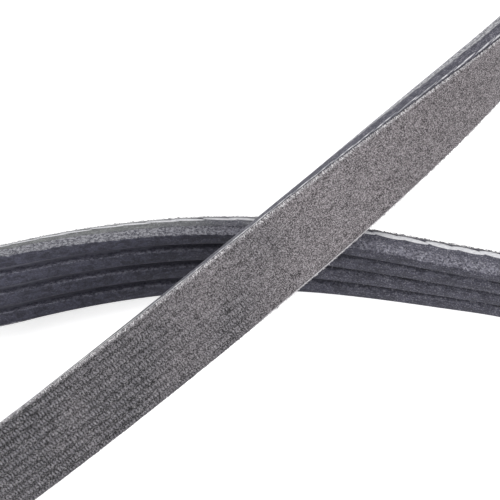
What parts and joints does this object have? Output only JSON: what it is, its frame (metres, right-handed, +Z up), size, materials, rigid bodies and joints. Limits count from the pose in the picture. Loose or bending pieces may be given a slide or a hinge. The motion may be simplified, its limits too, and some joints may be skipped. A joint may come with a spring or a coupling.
{
  "type": "serpentine belt",
  "caption": "Endless multi-rib drive belt for a car engine, ribbed inside and flat outside, lying loose in a figure of eight.",
  "frame": {"origin": "middle of the belt's plan, on the floor that its cut edge rests on", "axes": "+Z up from the floor, square to the plane the belt lies in; +Y along the longest side of the plan, from the near loop to the far loop; +X to the right"},
  "size_m": [0.2554, 0.3316, 0.0282],
  "materials": {
    "rubber": "matt black rubber, ground on the ribs"
  },
  "bodies": {
    "root": {"serpentine_belt": "rubber"}
  },
  "joints": []
}
